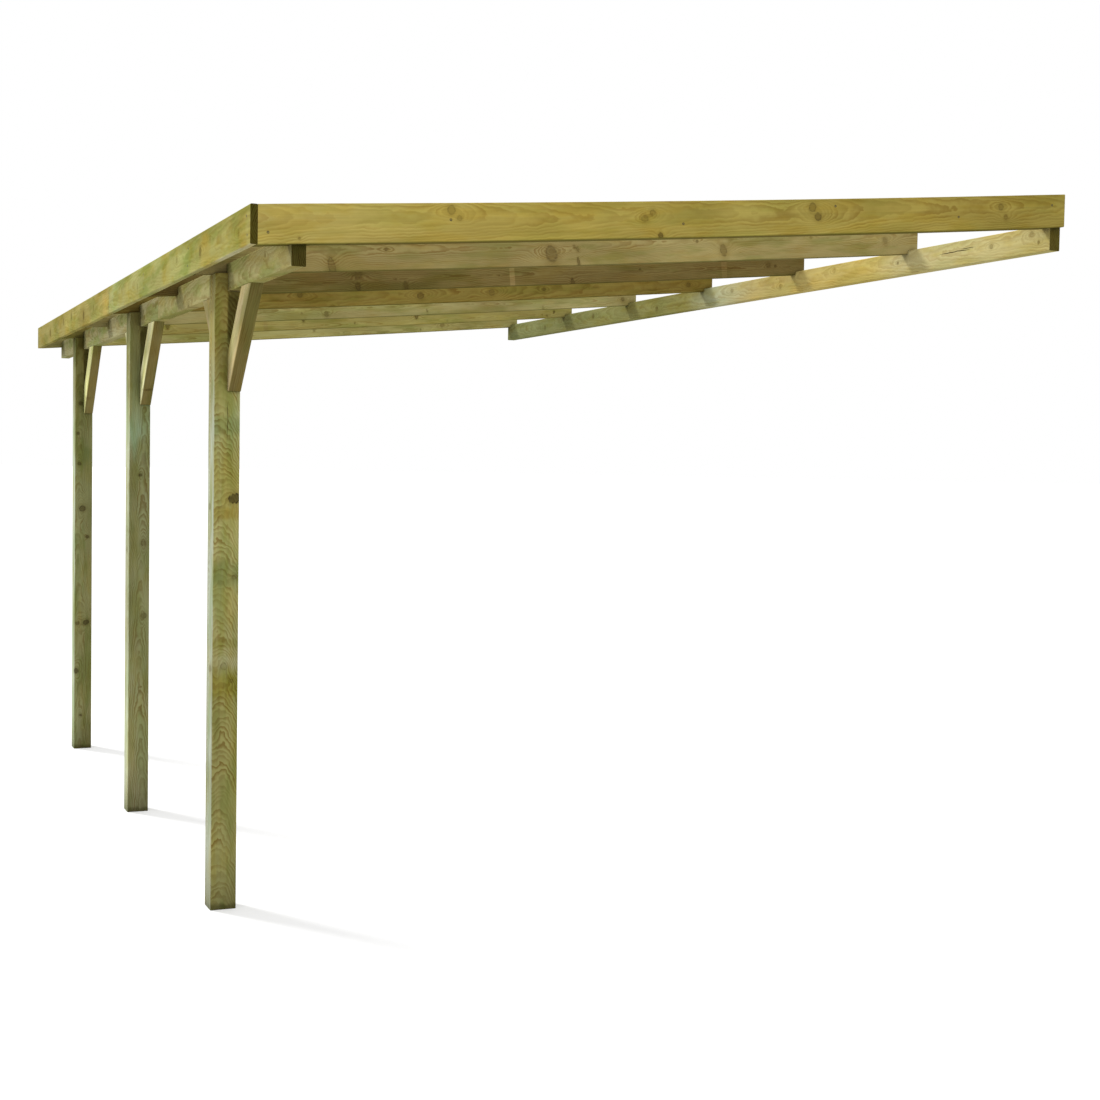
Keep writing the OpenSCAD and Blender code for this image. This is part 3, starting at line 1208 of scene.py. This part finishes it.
@dataclass
class OuterBeam(Timbers):
    """The two beam timbers, half-lapped at their joint."""

    slot: Slot = Slot.BEAM
    through: Way = Way.WALL
    finishes: dict[str, TimberFinish] = field(default_factory=lambda: {
        "outer_beam_front": TimberFinish(
            tones=((0.0, "A89F67"), (1.0, "AEA66E"), (2.3, "ABA46C")),
            pith=(-0.015, 0.060), spacing=0.006, figure=0.5, green=0.5, weathering_and_painted_side_tone=0.25, weathered_and_painted_side_colour="D9D6A8",
            knots=scattered(11, 2.3, FRAMING_DEPTH, (Face.NEAR, Face.FAR, Face.LOW)), seed=5.1),
        "outer_beam_rear": TimberFinish(
            tones=((0.0, "AFA879"), (1.2, "ABA777"), (3.1, "A3A275")),
            pith=(0.020, 0.075), spacing=0.0055, figure=0.5, green=0.6, weathering_and_painted_side_tone=0.25, weathered_and_painted_side_colour="E8E6C4",
            knots=scattered(12, 3.1, FRAMING_DEPTH, (Face.NEAR, Face.FAR, Face.LOW)), seed=6.4)})


@dataclass
class WallLedger(Timbers):
    """The ledger on the wall, the palest of the timbers towards the front."""

    slot: Slot = Slot.LEDGER
    through: Way = Way.WALL
    finishes: dict[str, TimberFinish] = field(default_factory=lambda: {
        "wall_ledger": TimberFinish(
            tones=((0.0, "C4B97D"), (0.9, "C6BC89"), (1.1, "C3B067"), (2.1, "BAAA6E"), (2.5, "ACAE8B"),
                   (2.8, "898550"), (5.2, "7F8358")),
            pith=(0.010, 0.055), spacing=0.006, figure=0.38, green=0.2, dull=0.2,
            knots=knots_on(Face.NEAR, (0.10, 0.022, 0.010, 0.3), (0.06, -0.01, 0.006, 0.5),
                                      (0.33, 0.004, 0.009, 0.4), (0.93, 0.004, 0.006, 0.5),
                                      (1.40, 0.020, 0.008, 0.2), (1.85, -0.01, 0.010, 0.25),
                                      (2.3, 0.012, 0.010, 0.3), (3.1, -0.012, 0.012, 0.4),
                                      (3.9, 0.010, 0.012, 0.5), (4.6, -0.008, 0.010, 0.4)),
            cracks=cracks_on(Face.NEAR, (0.55, 0.008, 0.24, 0.0022), (0.47, 0.014, 0.1, 0.0016)),
            seed=7.7)})


@dataclass
class Braces(Timbers):
    """The six braces between the posts and the beam."""

    slot: Slot = Slot.BRACE
    through: Way = Way.WALL
    sides: tuple[str, ...] = ("front", "rear")
    length: float = 0.45
    browns: tuple[str, ...] = ("7E7244", "7A7042", "807648")
    # Pale outer faces: partly bleaching by the weather, partly painted light.
    outer_faces_bleached_and_painted_light: tuple[str, ...] = ("DDCE9E", "FFFFCD", "EEEEAD")
    finishes: dict[str, TimberFinish] = field(default_factory=dict)

    def __post_init__(self) -> None:
        """Gives each brace a finish of its own, paler on its outer face, partly by bleaching and partly by
        painted light.
        """
        for number, post in enumerate(POSTS):
            for turn, side in enumerate(self.sides):
                turned = 2 * number + turn
                draw = random.Random(31 + turned)
                low = draw.choice(self.browns)
                self.finishes[f"brace_{post}_{side}"] = TimberFinish(
                    tones=((0.0, low), (0.35, "867B4A"), (0.6, low)),
                    pith=(draw.uniform(-0.05, 0.05), draw.choice((-0.05, 0.05))),
                    spacing=0.006, figure=0.5, green=0.4,
                    weathering_and_painted_side_tone=0.95, weathered_and_painted_side_colour=self.outer_faces_bleached_and_painted_light[number],
                    knots=scattered(41 + turned, self.length, FRAMING_DEPTH, (Face.NEAR, Face.LOW), 0.3),
                    seed=8.0 + number + turn * 0.4)


@dataclass
class Roof(Timbers):
    """Timbers that span from the beam to the wall and have sunk a little between the two."""

    sag: float = 0.0065
    span: tuple[float, float] = (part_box("outer_beam_front")[0].x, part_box("wall_ledger")[0].x)

    def drop(self, point: Vector) -> float:
        """Works out how far the roof has sunk, most at the middle of its span.

        Args:
            point: a point of a timber.

        Returns:
            The distance.
        """
        first, last = self.span
        share = min(max((point.x - first) / (last - first), 0.0), 1.0)
        return self.sag * 4 * share * (1 - share)


@dataclass
class Joists(Roof):
    """The seven joists, with painted shade on their undersides."""

    slot: Slot = Slot.JOIST
    weathered_and_painted_side: Way = Way.DOWN
    through: Way = Way.REAR
    browns: tuple[str, ...] = ("9B8C53", "B3A56D", "847546", "907F40", "B1A871", "ADA462", "B0AA6D")
    marks: dict[int, tuple[Knot, ...]] = field(default_factory=lambda: {
        1: knots_on(Face.NEAR, (0.480, -0.022, 0.012, 0.35), (1.326, 0.006, 0.020, 0.45),
                               (1.436, 0.013, 0.006, 0.4), (1.437, -0.035, 0.005, 0.6),
                               (2.059, 0.0, 0.013, 0.45), (2.814, 0.012, 0.010, 0.35)),
        2: knots_on(Face.NEAR, (0.843, 0.010, 0.013, 0.4), (0.840, -0.026, 0.009, 0.55),
                               (1.046, -0.028, 0.008, 0.5), (1.804, -0.042, 0.008, 0.6),
                               (2.782, 0.0, 0.010, 0.4)),
        3: knots_on(Face.NEAR, (0.832, 0.010, 0.012, 0.45), (1.411, -0.011, 0.016, 0.5),
                               (2.045, -0.003, 0.008, 0.5), (2.837, -0.010, 0.011, 0.5)),
        4: knots_on(Face.NEAR, (1.2, -0.02, 0.010, 0.4), (2.890, -0.011, 0.010, 0.5))})
    bands: dict[int, tuple[Band, ...]] = field(default_factory=lambda: {
        2: bands_of((1.524, 0.022, "A48F5E", 0.75, 0.9), (2.553, 0.026, "9A8656", 0.6, 0.9)),
        5: bands_of((1.1, 0.03, "A0905E", 0.4))})
    finishes: dict[str, TimberFinish] = field(default_factory=dict)

    def __post_init__(self) -> None:
        """Gives each joist a brown of its own, and its knots."""
        for number, brown in enumerate(self.browns):
            draw = random.Random(61 + number)
            size = (JOIST_LENGTH, FRAMING_DEPTH)
            hidden = scattered(71 + number, *size, (Face.FAR, Face.FAR, Face.LOW), 0.6)
            shown = self.marks.get(number, scattered(81 + number, *size, (Face.NEAR,), 0.7))
            self.finishes[JOISTS[number]] = TimberFinish(
                tones=((0.0, brown), (1.6, brown), (JOIST_LENGTH, brown)),
                pith=(draw.uniform(-0.04, 0.04), draw.choice((-0.045, -0.035, 0.05))),
                spacing=draw.uniform(0.005, 0.007), figure=0.6, green=0.4, gold=0.25, dull=0.4,
                weathering_and_painted_side_tone=0.75, weathered_and_painted_side_colour="5E5A2C", bands=self.bands.get(number, ()), knots=shown + hidden,
                seed=15.0 + number * 1.7)


@dataclass
class EndFascias(Roof):
    """The boards on the front and rear joists, with painted shade on their undersides."""

    slot: Slot = Slot.FASCIA
    weathered_and_painted_side: Way = Way.DOWN
    shrinkage: float = BOARD_SHRINKAGE
    through: Way = Way.REAR
    finishes: dict[str, TimberFinish] = field(default_factory=lambda: {
        "front_fascia": TimberFinish(
            tones=((0.0, "C8B768"), (0.9, "BBA855"), (1.7, "B9A959"), (2.3, "AF9D4F"), (3.0, "AA9A4E")),
            pith=(0.012, 0.055), spacing=0.006, wander=0.05, figure=0.45, green=0.2, dull=0.3,
            weathering_and_painted_side_tone=0.75, weathered_and_painted_side_colour="6F6A2C",
            knots=knots_on(Face.NEAR, (0.127, -0.043, 0.0035, 0.4), (0.61, 0.036, 0.013, 0.3),
                                      (0.635, 0.012, 0.008, 0.25), (1.27, 0.003, 0.012, 0.3),
                                      (1.30, 0.021, 0.010, 0.3), (1.325, -0.052, 0.008, 0.8),
                                      (1.905, 0.030, 0.014, 0.4), (1.925, 0.0, 0.013, 0.6),
                                      (2.69, 0.018, 0.011, 0.4), (2.71, -0.018, 0.009, 0.35)),
            seed=23.5),
        "rear_fascia": TimberFinish(
            tones=((0.0, "BAAB5D"), (1.5, "B9AA5B"), (3.0, "B09E54")),
            pith=(-0.020, -0.060), spacing=0.006, figure=0.45, green=0.25, dull=0.3,
            weathering_and_painted_side_tone=0.75, weathered_and_painted_side_colour="6F6A2C",
            knots=scattered(91, 3.0, 0.117, (Face.FAR, Face.FAR, Face.NEAR), 0.5, 0.012),
            seed=25.1)})


@dataclass
class SideFascias(Timbers):
    """The two boards along the joists' outer ends, the front one with painted light under its front end."""

    slot: Slot = Slot.FASCIA
    shrinkage: float = BOARD_SHRINKAGE
    through: Way = Way.WALL
    weathered_and_painted_side: Way = Way.DOWN
    finishes: dict[str, TimberFinish] = field(default_factory=lambda: {
        "side_fascia_front": TimberFinish(
            tones=((0.0, "A59C5A"), (1.0, "A9A766"), (2.62, "ABA96F")),
            pith=(0.010, 0.060), spacing=0.0065, figure=0.3, green=0.46, gold=0.42, dull=0.3,
            weathering_and_painted_side_tone=0.75, sheltered_and_painted_shade_length=2.1, weathered_and_painted_side_colour="C5BF9C",
            bands=bands_of((0.10, 0.12, "9F8B42", 0.4), (0.34, 0.14, "A9A563", 0.4),
                           (0.62, 0.16, "B09B46", 0.4), (0.95, 0.20, "9CA45F", 0.4),
                           (1.30, 0.16, "AFA152", 0.36), (1.75, 0.30, "A2A969", 0.4),
                           (2.15, 0.18, "AEA253", 0.4), (2.45, 0.20, "9BAA6D", 0.4)),
            knots=(knots_on(Face.NEAR, (0.15, -0.01, 0.009, 0.1), (0.55, 0.02, 0.007, 0.1),
                                       (1.10, 0.01, 0.010, 0.2), (1.90, -0.01, 0.009, 0.15))
                   + knots_on(Face.FAR, (0.7, 0.0, 0.012, 0.5))),
            seed=27.9),
        "side_fascia_rear": TimberFinish(
            tones=((0.0, "AEA362"), (1.0, "A89F61"), (2.62, "A29A61")),
            pith=(-0.012, 0.055), spacing=0.006, figure=0.35, green=0.4, gold=0.38, dull=0.35,
            bands=bands_of((0.12, 0.16, "B89D58", 0.42), (0.45, 0.22, "B0AD70", 0.35),
                           (0.80, 0.24, "968A4D", 0.35), (1.35, 0.26, "B1A558", 0.35),
                           (1.95, 0.30, "9B9453", 0.35)),
            knots=(knots_on(Face.NEAR, (0.45, 0.0, 0.012, 0.25), (0.77, -0.01, 0.020, 0.6),
                                       (1.50, 0.012, 0.014, 0.4), (2.05, -0.008, 0.018, 0.6))
                   + knots_on(Face.FAR, (1.2, 0.01, 0.012, 0.5))),
            seed=29.3)})


# ---------------------------------------------------------------- fixings


@dataclass(frozen=True)
class DullZinc:
    """Zinc plating that the weather has dulled, with pale bloom in its low places."""

    metal: str = "4C4430"
    bloom: str = "625840"
    darkening: str = "2E2819"

    def material(self) -> bpy.types.Material:
        """Builds the material.

        Returns:
            The material.
        """
        made = bpy.data.materials.new("dull_zinc")
        bench = Bench.cleared(made)
        place = bench.node("ShaderNodeTexCoord", {}).outputs["Object"]
        spots = bench.noise(place, 700.0, 3.0, 0.6)[0]
        cloud = bench.noise(place, 160.0, 2.0)[0]
        colour = bench.blend(bench.ease(spots, 0.45, 0.65), shade(self.metal), shade(self.bloom))
        colour = bench.blend(bench.ease(cloud, 0.5, 0.7, 0.0, 0.7), colour, shade(self.darkening))
        relief = bench.node("ShaderNodeBump", {"Height": spots, "Strength": 0.4, "Distance": 0.0002})
        metal = bench.node("ShaderNodeBsdfPrincipled", {
            "Base Color": colour, "Metallic": bench.ease(cloud, 0.45, 0.7, 0.6, 0.2),
            "Roughness": bench.ease(spots, 0.3, 0.7, 0.5, 0.75), "Normal": relief.outputs[0]})
        bench.node("ShaderNodeOutputMaterial", {"Surface": metal.outputs[0]})
        return made


@dataclass(frozen=True)
class Seat:
    """Where one fixing is driven in, and the way that its head faces."""

    point: Vector
    facing: Vector


@dataclass
class Fixings:
    """Heads of one kind of fixing, laid on the timbers they are driven into."""

    title: str
    seats: list[Seat]
    radius: float = 0.0045
    height: float = 0.0006
    crown: float = 0.86
    drive_radius: float = 0.0019
    drive_depth: float = 0.0005
    sides: int = 16
    seed: int = 3

    @staticmethod
    def raised(bench: Bench, feeds: dict[str, Feed]) -> bpy.types.NodeOutputs:
        """Raises faces as a block and returns the mesh and its top."""
        return bench.node("GeometryNodeExtrudeMesh", feeds, mode="FACES").outputs

    @staticmethod
    def drawn_in(bench: Bench, block: bpy.types.NodeOutputs, share: Feed) -> Socket:
        """Scales the top of a raised block about its middle and returns the mesh."""
        feeds = {"Geometry": block["Mesh"], "Selection": block["Top"], "Scale": share}
        return bench.node("GeometryNodeScaleElements", feeds).outputs[0]

    @staticmethod
    def turned(bench: Bench, seed: Socket) -> Socket:
        """Stands each head along its seat's facing, turned at random about it.

        Args:
            bench: adds nodes to the tree.
            seed: fixes the draw.

        Returns:
            The rotation.
        """
        facing = bench.node("GeometryNodeInputNamedAttribute", {"Name": "facing"}, data_type="FLOAT_VECTOR")
        feeds = {"Vector": facing.outputs["Attribute"]}
        upright = bench.node("FunctionNodeAlignRotationToVector", feeds, axis="Z").outputs[0]
        turn = bench.node("FunctionNodeRandomValue", {"Max": math.tau, "Seed": seed}, data_type="FLOAT")
        feeds = {"Axis": (0.0, 0.0, 1.0), "Angle": turn.outputs[1]}
        spin = bench.node("FunctionNodeAxisAngleToRotation", feeds).outputs[0]
        feeds = {"Rotation": upright, "Rotate By": spin}
        return bench.node("FunctionNodeRotateRotation", feeds, rotation_space="LOCAL").outputs[0]

    def wire(self, tree: bpy.types.NodeTree) -> None:
        """Builds the tree that lays one head on each seat, turned at random about its own axis.

        Args:
            tree: the empty tree.
        """
        sizes = ("Radius", "Height", "Crown", "Drive Radius", "Drive Depth")
        kinds = {"Seats": "Geometry", **dict.fromkeys(sizes, "Float"), "Sides": "Int", "Seed": "Int",
                 "Metal": "Material"}
        for name, kind in kinds.items():
            tree.interface.new_socket(name, in_out="INPUT", socket_type=f"NodeSocket{kind}")
        tree.interface.new_socket("Heads", in_out="OUTPUT", socket_type="NodeSocketGeometry")
        bench = Bench(tree)
        given = bench.node("NodeGroupInput", {}).outputs
        disc = bench.node("GeometryNodeMeshCircle", {"Vertices": given["Sides"], "Radius": given["Radius"]},
                          fill_type="NGON").outputs["Mesh"]
        rim = self.raised(bench, {"Mesh": disc, "Offset Scale": given["Height"]})
        top = self.drawn_in(bench, rim, given["Crown"])
        ring = self.raised(bench, {"Mesh": top, "Selection": rim["Top"], "Offset Scale": 0.0})
        share = bench.math("DIVIDE", given["Drive Radius"], bench.times(given["Radius"], given["Crown"]))
        drive = self.drawn_in(bench, ring, share)
        sunk = bench.times(given["Drive Depth"], -1.0)
        socket = self.raised(bench, {"Mesh": drive, "Selection": ring["Top"], "Offset Scale": sunk})
        under = bench.node("GeometryNodeFlipFaces", {"Mesh": disc}).outputs[0]
        join = bench.node("GeometryNodeJoinGeometry", {})
        tree.links.new(socket["Mesh"], join.inputs[0])
        tree.links.new(under, join.inputs[0])
        head = bench.node("GeometryNodeMergeByDistance", {"Geometry": join.outputs[0], "Distance": 1e-6})
        laid = bench.node("GeometryNodeInstanceOnPoints", {
            "Points": given["Seats"], "Instance": head.outputs[0],
            "Rotation": self.turned(bench, given["Seed"])}).outputs[0]
        solid = bench.node("GeometryNodeRealizeInstances", {"Geometry": laid}).outputs[0]
        dressed = bench.node("GeometryNodeSetMaterial", {"Geometry": solid, "Material": given["Metal"]})
        bench.node("NodeGroupOutput", {"Heads": dressed.outputs[0]})

    def build(self, metal: bpy.types.Material) -> bpy.types.Object:
        """Lays the heads and returns them as one plain mesh.

        Args:
            metal: the material of the heads.

        Returns:
            The piece.
        """
        mesh = bpy.data.meshes.new(self.title)
        mesh.from_pydata([seat.point for seat in self.seats], [], [])
        facing = mesh.attributes.new("facing", "FLOAT_VECTOR", "POINT")
        for number, seat in enumerate(self.seats):
            facing.data[number].vector = seat.facing
        piece = added(self.title, mesh)
        tree = bpy.data.node_groups.new(f"{self.title} heads", "GeometryNodeTree")
        self.wire(tree)
        values = {"Radius": self.radius, "Height": self.height, "Crown": self.crown,
                  "Drive Radius": self.drive_radius, "Drive Depth": self.drive_depth, "Sides": self.sides,
                  "Seed": self.seed, "Metal": metal}
        laying = piece.modifiers.new("Heads", "NODES")
        laying.node_group = tree
        for socket in tree.interface.items_tree:
            if socket.name in values:
                laying[socket.identifier] = values[socket.name]
        shaped = piece.evaluated_get(bpy.context.evaluated_depsgraph_get())
        plain = bpy.data.meshes.new_from_object(shaped)
        piece.modifiers.clear()
        piece.data = plain
        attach(piece, BODY)
        log.info("%s: %d heads, %d faces", piece.name, len(self.seats), len(plain.polygons))
        return piece


@dataclass
class Ironmongery:
    """The screws that hold the timbers together, placed from the timbers' own boxes."""

    sink: float = SCREW_SINK
    board_sink: float = SCREW_SINK + BOARD_SHRINKAGE
    board_rows: tuple[float, float] = (0.030, 0.087)
    board_stagger: float = 0.006
    end_board_screws: tuple[tuple[float, float], ...] = ((0.031, -0.024), (0.598, 0.003), (1.40, -0.022),
                                                         (1.98, 0.028), (2.49, -0.016), (2.90, 0.020))
    brace_inset: float = 0.055
    brace_lead: float = 0.022
    brace_pair: float = 0.011
    joist_aside: float = 0.004
    beam_pair: tuple[tuple[float, float], ...] = ((-0.018, 0.3), (0.018, 0.7))
    washer: float = 0.0016
    metal: DullZinc = field(default_factory=DullZinc)

    @staticmethod
    def board_depth() -> float:
        """Returns the depth of the fascia boards."""
        low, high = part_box("side_fascia_front")
        return high.z - low.z

    def pitch(self) -> float:
        """Returns the rise of the roof towards the wall, for each metre."""
        low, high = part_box("front_fascia")
        return (high.z - low.z - self.board_depth()) / (high.x - low.x)

    def side_boards(self) -> list[Seat]:
        """Sets two screws through the side boards into the end of each joist.

        Returns:
            Their seats.
        """
        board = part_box("side_fascia_front")[0]
        seats = []
        for number, name in enumerate(JOISTS):
            low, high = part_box(name)
            for turn, rise in enumerate(self.board_rows):
                aside = self.board_stagger * (1 if (turn + number) % 2 else -1)
                point = Vector((board.x + self.board_sink, (low.y + high.y) / 2 + aside, board.z + rise))
                seats.append(Seat(point, Way.OUTWARDS.axis))
        return seats

    def end_boards(self) -> list[Seat]:
        """Sets the screws through the boards on the front and rear joists.

        Returns:
            Their seats.
        """
        seats = []
        for name, way in (("front_fascia", Way.FRONT), ("rear_fascia", Way.REAR)):
            low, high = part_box(name)
            face = low.y + self.board_sink if way is Way.FRONT else high.y - self.board_sink
            for along, aside in self.end_board_screws:
                centre = low.z + self.pitch() * along + self.board_depth() / 2
                seats.append(Seat(Vector((low.x + along, face, centre + aside)), way.axis))
        return seats

    def braces(self) -> list[Seat]:
        """Sets the screws up each brace into the beam and in through its foot into the post.

        Returns:
            Their seats.
        """
        seats = []
        for post in POSTS:
            for side, way in (("front", -1.0), ("rear", 1.0)):
                low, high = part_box(f"brace_{post}_{side}")
                foot = Vector((0.0, high.y if way < 0 else low.y, low.z))
                head = Vector((0.0, low.y if way < 0 else high.y, high.z))
                line = (head - foot).normalized()
                facing = Vector((0.0, way * line.z, -abs(line.y)))
                middle = (low.x + high.x) / 2
                for end, inward in ((foot, 1.0), (head, -1.0)):
                    for pair, lead in ((-1.0, 0.0), (1.0, self.brace_lead)):
                        point = end + line * inward * (self.brace_inset + lead) - facing * self.sink
                        point.x = middle + pair * self.brace_pair
                        seats.append(Seat(point, facing))
        return seats

    def joist_tops(self) -> list[Seat]:
        """Sets the long screws down through each joist into the beam and the ledger.

        Returns:
            Their seats.
        """
        slope = self.pitch()
        normal = Vector((-slope, 0.0, 1.0)).normalized()
        seats = []
        for name in JOISTS:
            low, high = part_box(name)
            for support in ("outer_beam_front", "wall_ledger"):
                across = sum(corner.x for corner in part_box(support)) / 2
                top = high.z + slope * (across - high.x)
                point = Vector((across, (low.y + high.y) / 2 + self.joist_aside, top))
                seats.append(Seat(point - normal * self.sink, normal))
        return seats

    def beam_seats(self) -> list[Seat]:
        """Sets two heavy screws through the beam into each post's tongue.

        Returns:
            Their seats.
        """
        bottom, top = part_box("outer_beam_front")
        seats = []
        for post in POSTS:
            low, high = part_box(f"post_{post}")
            for aside, share in self.beam_pair:
                rise = bottom.z + share * (top.z - bottom.z)
                seats.append(Seat(Vector((top.x, (low.y + high.y) / 2 + aside, rise)), Way.WALL.axis))
        return seats

    def build(self) -> list[bpy.types.Object]:
        """Builds every fixing.

        Returns:
            The pieces.
        """
        heavy = self.beam_seats()
        raised = [Seat(seat.point + seat.facing * self.washer, seat.facing) for seat in heavy]
        kinds = (
            Fixings("side_board_screws", self.side_boards(), seed=5),
            Fixings("end_board_screws", self.end_boards(), seed=7),
            Fixings("brace_screws", self.braces(), radius=0.0052, seed=11),
            Fixings("joist_screws", self.joist_tops(), radius=0.0055, seed=13),
            Fixings("beam_washers", heavy, radius=0.0125, height=self.washer, crown=0.94,
                    drive_radius=0.006, drive_depth=0.0002, sides=28, seed=17),
            Fixings("beam_screw_heads", raised, radius=0.0080, height=0.0055, crown=0.90,
                    drive_radius=0.0030, drive_depth=0.0024, sides=6, seed=19))
        metal = self.metal.material()
        return [kind.build(metal) for kind in kinds]


# ---------------------------------------------------------------- studio


@dataclass
class Studio:
    """The pale floor and the soft light."""

    ground: float = field(default_factory=lambda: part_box("post_front")[0].z)
    floor_radius: float = 300.0
    floor_sides: int = 96
    floor_tone: float = 0.62
    floor_glow: float = 0.42
    bounce_tone: float = 0.58
    dome: float = 0.80
    key: float = 2.5
    key_spread: float = 11.0
    key_from: tuple[float, float, float] = (-0.40, 0.62, 0.68)

    @staticmethod
    def direct(bench: Bench) -> Socket:
        """Masks the rays that show the background: the camera's, and those in metal and glass.

        Args:
            bench: adds nodes to the floor's material or to the world.

        Returns:
            The mask.
        """
        path = bench.node("ShaderNodeLightPath", {}).outputs
        mirrored = bench.math("MAXIMUM", path["Is Glossy Ray"], path["Is Transmission Ray"])
        return bench.math("MAXIMUM", path["Is Camera Ray"], mirrored)

    def floor_finish(self) -> bpy.types.Material:
        """Makes the floor white to the eye, matt to the light that it throws back, and clear from below.

        Returns:
            The material.
        """
        made = bpy.data.materials.new("studio_floor")
        bench = Bench.cleared(made)
        matt = bench.node("ShaderNodeBsdfDiffuse", {"Color": grey(self.floor_tone)}).outputs[0]
        bounce = bench.node("ShaderNodeBsdfDiffuse", {"Color": grey(self.bounce_tone)}).outputs[0]
        glow = bench.node("ShaderNodeEmission", {"Color": WHITE, "Strength": self.floor_glow}).outputs[0]
        lit = bench.node("ShaderNodeAddShader", {0: matt, 1: glow}).outputs[0]
        shown = bench.node("ShaderNodeMixShader", {0: self.direct(bench), 1: bounce, 2: lit}).outputs[0]
        clear = bench.node("ShaderNodeBsdfTransparent", {}).outputs[0]
        under = bench.node("ShaderNodeNewGeometry", {}).outputs["Backfacing"]
        both = bench.node("ShaderNodeMixShader", {0: under, 1: shown, 2: clear}).outputs[0]
        bench.node("ShaderNodeOutputMaterial", {"Surface": both})
        return made

    def floor(self) -> None:
        """Lays a plain round floor under the posts, which takes a soft shadow."""
        work = bmesh.new()
        bmesh.ops.create_circle(work, cap_ends=True, segments=self.floor_sides, radius=self.floor_radius)
        for vert in work.verts:
            vert.co.z = self.ground
        mesh = bpy.data.meshes.new("studio_floor")
        work.to_mesh(mesh)
        work.free()
        mesh.materials.append(self.floor_finish())
        added("studio_floor", mesh)

    def light(self) -> None:
        """Hangs an even dome of light, white behind the frame, and a broad key from the left rear."""
        world = bpy.data.worlds.new("studio")
        bench = Bench.cleared(world)
        strength = bench.between(self.direct(bench), self.dome, 1.0)
        back = bench.node("ShaderNodeBackground", {"Color": WHITE, "Strength": strength})
        bench.node("ShaderNodeOutputWorld", {"Surface": back.outputs[0]})
        bpy.context.scene.world = world
        lamp = bpy.data.lights.new("key", "SUN")
        lamp.energy = self.key
        lamp.angle = math.radians(self.key_spread)
        key = added("key", lamp)
        key.rotation_mode = "QUATERNION"
        key.rotation_quaternion = Vector(self.key_from).to_track_quat("Z", "Y")


@dataclass
class Viewpoint:
    """The camera, at eye height in front of the outer side and turned towards the wall."""

    place: tuple[float, float, float] = (-4.1128, -7.4209, -0.8619)
    turn: float = 23.673
    rise: float = -2.897
    roll: float = 1.044
    lens: float = 54.14
    farthest: float = 1000.0

    def build(self) -> None:
        """Makes the camera and gives it to the scene."""
        turn, rise, roll = (math.radians(angle) for angle in (self.turn, self.rise, self.roll))
        ahead = Vector((math.sin(turn) * math.cos(rise), math.cos(turn) * math.cos(rise), math.sin(rise)))
        level = Vector((math.cos(turn), -math.sin(turn), 0.0))
        upright = level.cross(ahead)
        right = level * math.cos(roll) + upright * math.sin(roll)
        up = upright * math.cos(roll) - level * math.sin(roll)
        lens = bpy.data.cameras.new("camera")
        lens.lens = self.lens
        lens.clip_end = self.farthest
        camera = added("camera", lens)
        axes = Matrix((right, up, -ahead)).transposed()
        camera.matrix_world = Matrix.Translation(self.place) @ axes.to_4x4()
        bpy.context.scene.camera = camera


def main() -> None:
    """Builds the camera, the frame's sub-assemblies in order, then the floor and the light."""
    logging.basicConfig(level=logging.INFO, format="%(message)s")
    Viewpoint().build()
    parts = (Posts(), OuterBeam(), WallLedger(), Braces(), Joists(), EndFascias(), SideFascias(),
             Ironmongery())
    for part in parts:
        log.info("%s: %d pieces", type(part).__name__, len(part.build()))
    studio = Studio()
    studio.floor()
    studio.light()
    bpy.context.scene.view_settings.view_transform = "Standard"


if __name__ == "__main__":
    main()
